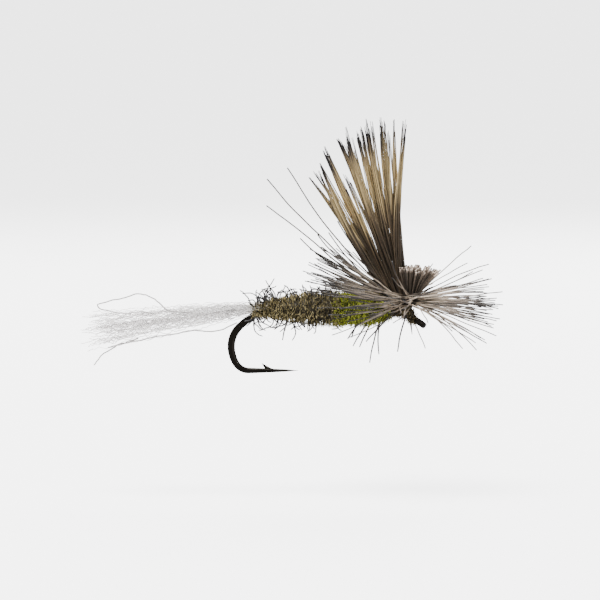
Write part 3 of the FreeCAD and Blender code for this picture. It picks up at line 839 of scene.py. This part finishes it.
def make_tail(finish, loose_finish):
    """Crinkled yarn: three strands of fine fibres that leave the bend together and fan a little."""
    rng = random.Random(77)
    for number, (name, (least, most)) in enumerate(TAIL_STRANDS.items()):
        guides = []
        for _ in range(FIBRES_IN_STRAND):
            droop = rng.uniform(least, most)
            scatter = rng.uniform(-LIFT_SCATTER, LIFT_SCATTER)
            lift = (LEVEL_DROOP - droop) * LIFT_PER_DEGREE + scatter - TAIL_SINK
            aside = rng.uniform(-TAIL_HALF_WIDTH, TAIL_HALF_WIDTH)
            start = TAIL_FOOT + Vector((TAIL_HELD, aside, lift)) * MM
            length = rng.uniform(*TAIL_LENGTHS) * MM
            heading = 180.0 + rng.gauss(0.0, TAIL_FAN)
            bend = rng.uniform(*TAIL_BEND)
            guides.append(bowed(start, -droop + bend, -droop - bend, length, heading, steps=14))
        yarn = grow(
            f"tail_strand_{name}", guides, finish, points=72, root_spread=0.1 * MM, tip_spread=0.3 * MM,
            crinkle=0.38 * MM, crinkle_size=0.5 * MM, root_radius=0.025 * MM, tip_radius=0.025 * MM,
            taper=4.0, sides=4, unevenness=0.09, seed=51 + number,
        )
        flex_tail(yarn, f"tail_yarn_{name}")
    routes = ((TAIL_LOOP, -0.75), (TAIL_LOW_FIBRE, -0.6), (TAIL_LAST_FIBRE, 0.3))
    lines = [[Vector((x, y, z)) * MM for x, z in route] for route, y in routes]
    loose = grow(
        "tail_loop_and_strays", lines, loose_finish, points=64, crinkle=0.14 * MM, crinkle_size=0.7 * MM,
        root_radius=0.05 * MM, tip_radius=0.042 * MM, sides=5, seed=59,
    )
    flex_tail(loose, "tail_loop_fibre")


def flex_tail(piece, node):
    """Yarn whose placing is baked into its mesh, in place of its CAD node, which is hidden."""
    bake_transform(piece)
    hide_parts(node)


# ------ body


# The cores' place on the fibres' run from root to tip, which gives them a little of the fur's painted root
# shade
CORE_DEPTH = 0.22
CORE_TINTS = (0.1, 0.6)
LUMPS = ((3, 9), (5, -17))
LUMP_HEIGHT = 0.05
PHASES = 6
ROOT_DEPTH = 0.97
SHORTEST_FIBRE = 0.6
FIBRE_BEND = (-45.0, 35.0)
BACKWARD = 1.8
CURL_STEPS = 8
CURL = (0.02, 0.3)
CURL_TILT = 0.4
CURL_SWAY = (1.0, 0.6)
CURL_ROOT = 0.9
TO_THE_REAR = 1.2


def spindle(name, profile, finish, ridges, ridge_height, seed, segments=64, rings=120):
    """A spun rope of fur round the shank, ridged and a little lumpy.

    The stations of its profile are (x, centre z, radius) in millimetres.
    """
    rng = random.Random(seed)
    phase = [rng.uniform(0.0, 6.28) for _ in range(PHASES)]
    corners = []
    for ring in range(rings + 1):
        share = ring / rings
        x, z, radius = station(profile, share)
        for segment in range(segments):
            angle = 2.0 * math.pi * segment / segments
            wave = math.sin(ridges * share * 2.0 * math.pi + angle)
            lumps = sum(
                0.5 * math.sin(about * angle + shift + along * share)
                for (about, along), shift in zip(LUMPS, phase)
            )
            reach = radius * (1.0 + ridge_height * wave + LUMP_HEIGHT * lumps)
            corners.append(Vector((x, reach * math.sin(angle), z + reach * math.cos(angle))) * MM)
    first = len(corners)
    corners.append(Vector((profile[0][0], 0.0, profile[0][1])) * MM)
    corners.append(Vector((profile[-1][0], 0.0, profile[-1][1])) * MM)
    faces = []
    for ring in range(rings):
        for segment in range(segments):
            a = ring * segments + segment
            b = ring * segments + (segment + 1) % segments
            faces.append((a, b, b + segments, a + segments))
    last = rings * segments
    for segment in range(segments):
        following = (segment + 1) % segments
        faces.append((first, following, segment))
        faces.append((first + 1, last + segment, last + following))
    mesh = bpy.data.meshes.new(name)
    mesh.from_pydata(corners, [], faces)
    mesh.materials.append(finish)
    mesh.polygons.foreach_set("use_smooth", [True] * len(mesh.polygons))
    tint = mesh.attributes.new("tint", "FLOAT", "POINT")
    tint.data.foreach_set("value", [rng.uniform(*CORE_TINTS) for _ in corners])
    # the core's place along the fibre sets how much of the fur's painted root shade it takes
    depth = mesh.attributes.new("along", "FLOAT", "POINT")
    depth.data.foreach_set("value", [CORE_DEPTH] * len(corners))
    return link(bpy.data.objects.new(name, mesh))


def station(profile, share):
    """The outline's (x, z, radius) at a share of its length, eased between the stations."""
    place = profile[0][0] + share * (profile[-1][0] - profile[0][0])
    for (x0, z0, r0), (x1, z1, r1) in zip(profile, profile[1:]):
        if place <= x1 or x1 == profile[-1][0]:
            part = (place - x0) / (x1 - x0)
            ease = part * part * (3.0 - 2.0 * part)
            return place, z0 + (z1 - z0) * ease, r0 + (r1 - r0) * ease
    return profile[-1]


def fur_guides(rng, profile, count, length, stand, wander=0.4):
    """Short fibres rooted on a spindle; stand is their rise from the surface in degrees (low, high)."""
    guides = []
    for _ in range(count):
        x, z, radius = station(profile, rng.random())
        angle = rng.uniform(0.0, 2.0 * math.pi)
        normal = Vector((0.0, math.sin(angle), math.cos(angle)))
        around = Vector((0.0, math.cos(angle), -math.sin(angle))) * rng.choice((-1.0, 1.0))
        back = Vector((-1.0, 0.0, 0.0))
        lay = (around + back * rng.uniform(-wander, wander * BACKWARD)).normalized()
        rise = math.radians(rng.uniform(*stand))
        root = Vector((x, 0.0, z)) + normal * radius * ROOT_DEPTH
        reach = rng.uniform(SHORTEST_FIBRE, 1.0) * length
        first = root + (lay * math.cos(rise) + normal * math.sin(rise)) * reach * 0.5
        bend = rise + math.radians(rng.uniform(*FIBRE_BEND))
        second = first + (lay * math.cos(bend) + normal * math.sin(bend)) * reach * 0.5
        guides.append([root * MM, first * MM, second * MM])
    return guides


def curly_guides(rng, profile, count, length, sector):
    """Dark guard hairs that stand out of the fur and curl over; sector is in degrees from the top."""
    guides = []
    for _ in range(count):
        x, z, radius = station(profile, rng.random() ** TO_THE_REAR)
        angle = math.radians(rng.uniform(*sector))
        normal = Vector((0.0, math.sin(angle), math.cos(angle)))
        along, across = (rng.uniform(-sway, sway) for sway in CURL_SWAY)
        place = Vector((x, 0.0, z)) + normal * radius * CURL_ROOT
        ahead = (normal + Vector((along, across, 0.0)) * 0.5).normalized()
        tilts = [rng.uniform(-CURL_TILT, CURL_TILT) for _ in range(2)]
        axis = Vector((tilts[0], 1.0, tilts[1])).normalized()
        curl = rng.choice((-1.0, 1.0)) * rng.uniform(*CURL)
        step = rng.uniform(SHORTEST_FIBRE, 1.0) * length / CURL_STEPS
        points = [place * MM]
        for _ in range(CURL_STEPS):
            place = place + ahead * step
            side = axis.cross(ahead)
            ahead = (ahead + side * curl).normalized()
            points.append(place * MM)
        guides.append(points)
    return guides


# (stations from the rear, count, length, sector)
GUARD_HAIRS = (
    (6, 56, 1.4, (-42.0, 42.0)),
    (6, 42, 1.3, (146.0, 214.0)),
    (4, 13, 2.4, (-30.0, 30.0)),
    (4, 10, 2.3, (155.0, 205.0)),
)


def make_abdomen(rng, fur, guard):
    rear, front = BODY_REAR / MM, ABDOMEN_FRONT / MM
    z = SHANK_Z / MM
    thick = BODY_RADIUS / MM
    profile = (
        (rear - 1.35, z - 0.2, 0.14), (rear - 0.9, z - 0.08, 0.18), (rear + 0.3, z + 0.02, 0.4 * thick),
        (rear + 1.5, z + 0.05, 0.62 * thick), (rear + 3.4, z + 0.03, 0.86 * thick),
        (front + 0.35, z + 0.02, 0.92 * thick),
    )
    core = spindle("abdomen_core", profile, fur, ridges=13, ridge_height=0.07, seed=3)
    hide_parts("abdomen_dubbing")
    fibres = fur_guides(rng, profile, count=4000, length=0.54, stand=(50.0, 90.0))
    fuzz = grow(
        "abdomen_fuzz", fibres, fur, points=4, crinkle=0.06 * MM, crinkle_size=0.25 * MM,
        root_radius=0.018 * MM, tip_radius=0.011 * MM, sides=3, seed=71,
    )
    hairs = []
    for stations, count, length, sector in GUARD_HAIRS:
        hairs += curly_guides(rng, profile[:stations], count, length, sector)
    curls = grow(
        "abdomen_guard_hairs", hairs, guard, points=16, crinkle=0.2 * MM, crinkle_size=0.8 * MM,
        root_radius=0.05 * MM, tip_radius=0.036 * MM, sides=5, seed=73,
    )
    for piece in (core, fuzz, curls):
        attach(piece, BODY)


def make_thorax(rng, fur):
    rear, front = ABDOMEN_FRONT / MM, THORAX_FRONT / MM
    z = SHANK_Z / MM
    thick = BODY_RADIUS / MM
    profile = (
        (rear - 0.1, z, 0.88 * thick), (rear + 1.0, z, 0.88 * thick), (front - 1.6, z - 0.03, 0.88 * thick),
        (front - 0.7, z - 0.02, 0.7 * thick), (front, z, 0.42 * thick),
    )
    core = spindle("thorax_core", profile, fur, ridges=8, ridge_height=0.06, seed=4)
    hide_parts("thorax_dubbing")
    fibres = fur_guides(rng, profile, count=3800, length=0.5, stand=(35.0, 88.0), wander=1.2)
    fuzz = grow(
        "thorax_fuzz", fibres, fur, points=4, crinkle=0.06 * MM, crinkle_size=0.3 * MM,
        root_radius=0.019 * MM, tip_radius=0.011 * MM, sides=3, seed=81,
    )
    for piece in (core, fuzz):
        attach(piece, BODY)


def make_head(rng, fur):
    """Dubbing round the foot of the post, which follows the neck down towards the eye."""
    start = THORAX_FRONT / MM
    z = SHANK_Z / MM
    profile = (
        (start - 0.1, z, 0.36), (start + 0.5, z + 0.02, 0.38), (start + 1.0, z - 0.08, 0.42),
        (start + 1.45, z - 0.38, 0.46), (start + 1.8, z - 0.72, 0.24),
    )
    core = spindle("head_core", profile, fur, ridges=4, ridge_height=0.06, seed=5, segments=48, rings=48)
    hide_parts("head_dubbing")
    fibres = fur_guides(rng, profile, count=1300, length=0.42, stand=(20.0, 72.0), wander=1.0)
    fuzz = grow(
        "head_fuzz", fibres, fur, points=4, crinkle=0.05 * MM, crinkle_size=0.3 * MM,
        root_radius=0.018 * MM, tip_radius=0.01 * MM, sides=3, seed=91,
    )
    for piece in (core, fuzz):
        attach(piece, BODY)


NECK_RISE = 35.0
NECK_RUN = (0.37, 1.385)
SHANK_BEND = (0.8, 35.0)
SHANK_RUN = 9.13
BEND_ARCS = ((1.82, 28.5), (6.6, 15.5), (2.0, 50.0), (2.55, 25.0), (1.1, 61.0))
POINT_RUN = 3.6
WIRE_DEPTHS = (
    (0.0, 0.15), (0.6, 0.2), (10.6, 0.215), (12.0, 0.25), (14.0, 0.275), (15.6, 0.265), (17.0, 0.225),
    (17.7, 0.2), (18.6, 0.165), (19.6, 0.115), (20.4, 0.07),
)
WIRE_WIDTHS = (
    (0.0, 0.15), (0.6, 0.2), (10.6, 0.215), (13.0, 0.19), (16.0, 0.185), (18.0, 0.175), (20.0, 0.09),
)
WIRE_STEP = 0.12
GRIND_LENGTH = 0.8
GRIND_START = 0.12
POINT_END = 0.012
EYE_STEPS = 48
EYE_RING = 0.485
EYE_WIRE = (0.115, 0.22)


def between(table, place):
    """A value read from a table of (place, value), eased in straight steps."""
    for (low, first), (high, last) in zip(table, table[1:]):
        if place <= high:
            return first + (last - first) * max(place - low, 0.0) / (high - low)
    return table[-1][1]


def arc(radius, turn):
    """The (length, turn in degrees) of a bend."""
    return radius * math.radians(turn), turn


def wire_line():
    """The hook's centre line as (x, z, heading in degrees, distance), from the eye to the point."""
    x = -cosine(NECK_RISE) * NECK_RUN[0]
    z = sine(NECK_RISE) * NECK_RUN[0]
    heading, distance = 180.0 - NECK_RISE, 0.0
    line = [(x, z, heading, distance)]
    neck = (NECK_RUN[1] - NECK_RUN[0], 0.0)
    bends = [arc(*bend) for bend in BEND_ARCS]
    for length, turn in (neck, arc(*SHANK_BEND), (SHANK_RUN, 0.0), *bends, (POINT_RUN, 0.0)):
        steps = max(2, round(length / WIRE_STEP))
        for _ in range(steps):
            heading += 0.5 * turn / steps
            x += cosine(heading) * length / steps
            z += sine(heading) * length / steps
            heading += 0.5 * turn / steps
            distance += length / steps
            line.append((x, z, heading, distance))
    return line


def tube_mesh(rings, closed):
    """Corners and faces of a tube through rings of points; an open tube gets end caps."""
    corners = [corner for ring in rings for corner in ring]
    sides, count = len(rings[0]), len(rings)
    faces = []
    for ring in range(count if closed else count - 1):
        following = (ring + 1) % count
        for side in range(sides):
            beside = (side + 1) % sides
            here, there = ring * sides, following * sides
            faces.append((here + side, here + beside, there + beside, there + side))
    if not closed:
        faces.append(tuple(reversed(range(sides))))
        faces.append(tuple((count - 1) * sides + side for side in range(sides)))
    return corners, faces


def make_hook(finish, sides=20):
    """The hook's wire: round shank, bend forged flat, ground point and rolled eye."""
    line = wire_line()
    end = line[-1][3]
    rings = []
    for x, z, heading, distance in line:
        left = Vector((-sine(heading), 0.0, cosine(heading)))
        fade = min(min((end - distance) / GRIND_LENGTH, 1.0) + GRIND_START, 1.0)
        deep = max(between(WIRE_DEPTHS, distance) * fade, POINT_END)
        wide = max(between(WIRE_WIDTHS, distance) * fade, POINT_END)
        ring = []
        for side in range(sides):
            angle = 2.0 * math.pi * side / sides
            offset = left * (deep * math.cos(angle)) + Vector((0.0, wide * math.sin(angle), 0.0))
            ring.append((Vector((x, 0.0, z)) + offset) * MM)
        rings.append(ring)
    corners, faces = tube_mesh(rings, closed=False)
    axis = Vector((sine(NECK_RISE), 0.0, cosine(NECK_RISE)))
    ahead = Vector((cosine(NECK_RISE), 0.0, -sine(NECK_RISE)))
    eye_rings = []
    thick, tall = EYE_WIRE
    for step in range(EYE_STEPS):
        angle = 2.0 * math.pi * step / EYE_STEPS
        out = ahead * math.cos(angle) + Vector((0.0, math.sin(angle), 0.0))
        ring = []
        for side in range(sides):
            turn = 2.0 * math.pi * side / sides
            ring.append((out * (EYE_RING + thick * math.cos(turn)) + axis * (tall * math.sin(turn))) * MM)
        eye_rings.append(ring)
    for more_corners, more_faces in (tube_mesh(eye_rings, closed=True), barb_shape(line)):
        faces += [tuple(corner + len(corners) for corner in face) for face in more_faces]
        corners += more_corners
    mesh = bpy.data.meshes.new("hook_wire")
    mesh.from_pydata(corners, [], faces)
    mesh.materials.append(finish)
    mesh.polygons.foreach_set("use_smooth", [True] * len(mesh.polygons))
    tidy = bmesh.new()
    tidy.from_mesh(mesh)
    bmesh.ops.recalc_face_normals(tidy, faces=tidy.faces)
    tidy.to_mesh(mesh)
    tidy.free()
    hook = link(bpy.data.objects.new("hook_wire", mesh))
    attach(hook, BODY)
    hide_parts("hook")


def barb_shape(line):
    """The cut barb: a tapering tongue raised from the wire, whose tip points back at the bend."""
    bend_end = next(spot for spot in line if spot[3] > line[-1][3] - POINT_RUN)
    x, z = bend_end[0], bend_end[1]
    outline = (
        (1.85, 0.05, 0.1), (1.45, 0.19, 0.1), (1.08, 0.40, 0.09), (0.80, 0.55, 0.03), (0.93, 0.32, 0.07),
        (1.12, 0.05, 0.1),
    )
    corners = []
    for side in (-1.0, 1.0):
        corners += [Vector((x + along, side * wide, z + up)) * MM for along, up, wide in outline]
    count = len(outline)
    faces = [tuple(range(count)), tuple(reversed(range(count, 2 * count)))]
    for k in range(count):
        following = (k + 1) % count
        faces.append((k, k + count, following + count, following))
    return corners, faces


def dress_cad_nodes(thread, stem, yarn):
    """Better finishes for the pieces whose solid is already right."""
    finishes = {
        thread: ("shank_thread", "tail_tie_wraps", "wing_tie_wraps", "post_wraps", "whip_finish"),
        stem: ("hackle_quill", "hackle_stem_stub", "wing_hair_root"),
        yarn: ("tail_yarn_root",),
    }
    for finish, names in finishes.items():
        for name in names:
            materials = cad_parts[name].data.materials
            materials.clear()
            materials.append(finish)


# ------ studio

VIEW_MIDDLE = Vector((-8.64, 0.0, 1.6)) * MM
VIEW_WIDTH = 43.56 * MM
LENS = 200.0
SENSOR = 36.0
NEAREST = 0.01
FARTHEST = 20.0
CAMERA_RISE = 4.0
FLOOR_DROP = 9.0 * MM
FLOOR_RADIUS = 8.0
FLOOR_SIDES = 48
FLOOR_TONE = 0.8
SURROUND = 3.0
AMBIENT = 0.8
LAMPS = (
    ("key_light", (-0.1, -0.13, 0.42), 0.22, 4.6),
    ("fill_light", (0.26, -0.28, 0.03), 0.3, 0.35),
    ("back_light", (0.06, 0.3, 0.26), 0.22, 2.4),
)


def make_studio():
    """A pale floor that runs out of sight into a pale surround, soft light from above, and a long lens."""
    scene = bpy.context.scene
    floor_z = cad_box[0].z - FLOOR_DROP
    turns = [2.0 * math.pi * side / FLOOR_SIDES for side in range(FLOOR_SIDES)]
    rim = [(math.cos(turn) * FLOOR_RADIUS, math.sin(turn) * FLOOR_RADIUS, floor_z) for turn in turns]
    mesh = bpy.data.meshes.new("studio_floor")
    mesh.from_pydata(rim, [], [list(range(FLOOR_SIDES))])
    floor = link(bpy.data.objects.new("studio_floor", mesh))
    constants = {
        "Base Color": (FLOOR_TONE, FLOOR_TONE, FLOOR_TONE, 1.0),
        "Roughness": 0.9,
        "Specular IOR Level": 0.0,
        "Emission Color": (1.0, 1.0, 1.0, 1.0),
        "Emission Strength": SURROUND,
    }
    mesh.materials.append(settle(new_finish("studio_white")[0], constants))
    floor.visible_diffuse = False
    floor.visible_glossy = False
    scene.world = make_surround()
    for name, place, size, power in LAMPS:
        lamp = bpy.data.lights.new(name, "AREA")
        lamp.size = size
        lamp.energy = power
        item = link(bpy.data.objects.new(name, lamp))
        item.location = place
        item.rotation_euler = (VIEW_MIDDLE - Vector(place)).to_track_quat("-Z", "Y").to_euler()
    camera = bpy.data.cameras.new("camera")
    camera.lens = LENS
    camera.sensor_width = SENSOR
    camera.clip_start = NEAREST
    camera.clip_end = FARTHEST
    eye = link(bpy.data.objects.new("camera", camera))
    distance = VIEW_WIDTH * LENS / SENSOR
    eye.location = VIEW_MIDDLE + Vector((0.0, -cosine(CAMERA_RISE), sine(CAMERA_RISE))) * distance
    eye.rotation_euler = (VIEW_MIDDLE - eye.location).to_track_quat("-Z", "Y").to_euler()
    scene.camera = eye


def make_surround():
    """A surround that looks as pale as the floor and lights the fly only softly."""
    world = bpy.data.worlds.new("studio_surround")
    world.use_nodes = True
    nodes = Nodes(world.node_tree)
    path = nodes.add("ShaderNodeLightPath")
    seen = path.out("Is Camera Ray") + path.out("Is Transmission Ray")
    background = world.node_tree.nodes["Background"]
    background.inputs["Color"].default_value = (1.0, 1.0, 1.0, 1.0)
    far_floor = SURROUND + FLOOR_TONE * AMBIENT
    strength = seen * (far_floor - AMBIENT) + AMBIENT
    world.node_tree.links.new(strength.socket, background.inputs["Strength"])
    return world


make_studio()
body_rng = random.Random(101)
# The first colour of each fur is painted shade, which the fibres take towards their roots.
abdomen_fur = fur_finish(
    "abdomen_fur", (0.012, 0.009, 0.005), (0.08, 0.062, 0.024), (0.31, 0.25, 0.105), (0.78, 0.65, 0.34)
)
thorax_fur = fur_finish(
    "thorax_fur", (0.02, 0.026, 0.004), (0.2, 0.215, 0.018), (0.52, 0.57, 0.045), (0.84, 0.9, 0.12)
)
head_fur = fur_finish(
    "head_fur", (0.012, 0.009, 0.005), (0.06, 0.045, 0.02), (0.20, 0.155, 0.075), (0.48, 0.38, 0.21)
)
tail_yarn = tail_yarn_finish()
dress_cad_nodes(thread_finish(), stem_finish(), tail_yarn)
make_hook(bronze_finish())
make_abdomen(body_rng, abdomen_fur, guard_hair_finish())
make_thorax(body_rng, thorax_fur)
make_head(body_rng, head_fur)
make_tail(tail_yarn, loose_yarn_finish())
make_wing(wing_hair_finish(), long_hair_finish())
make_butts(butt_finish())
make_hackle(hackle_barb_finish())
make_caught_barbs(caught_barb_finish())
